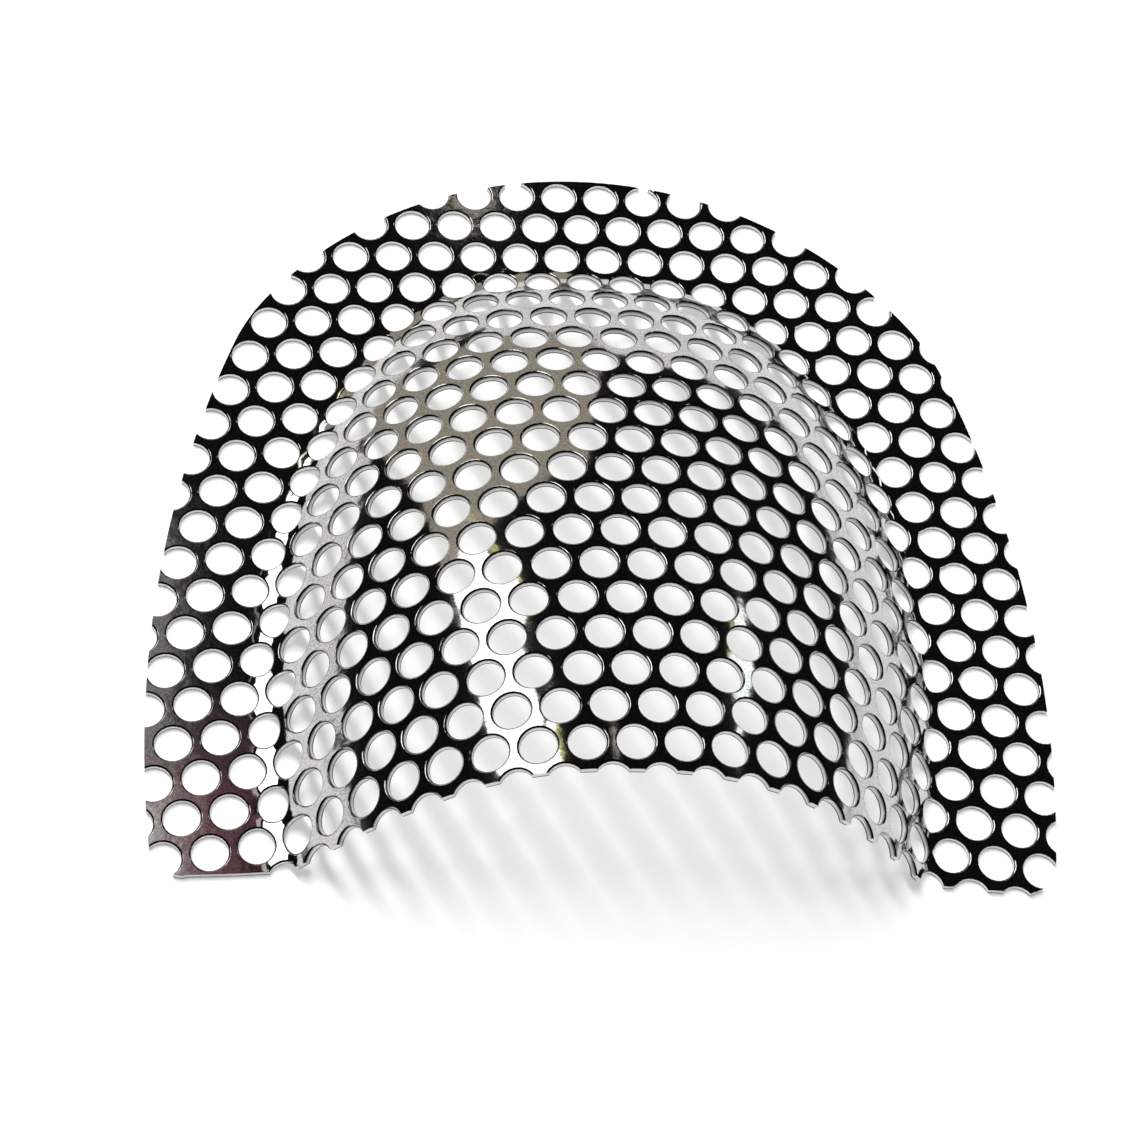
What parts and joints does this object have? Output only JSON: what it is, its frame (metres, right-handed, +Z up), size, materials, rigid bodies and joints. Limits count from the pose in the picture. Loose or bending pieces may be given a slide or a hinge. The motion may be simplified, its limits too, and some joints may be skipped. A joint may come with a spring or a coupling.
{
  "type": "denture mesh",
  "caption": "Perforated metal strengthening mesh for an upper denture: one thin sheet pressed into a palate-shaped vault, open at the rear, with a flat flange round it.",
  "frame": {"origin": "under the middle of the outline, on the plane that the flange lies on", "axes": "+X across the palate, +Y to the front of the mouth, +Z up through the crown of the vault"},
  "size_m": [0.0596, 0.0537, 0.0125],
  "materials": {
    "sheet": "mirror polished stainless steel"
  },
  "bodies": {
    "root": {"palatal_mesh": "sheet"}
  },
  "joints": []
}
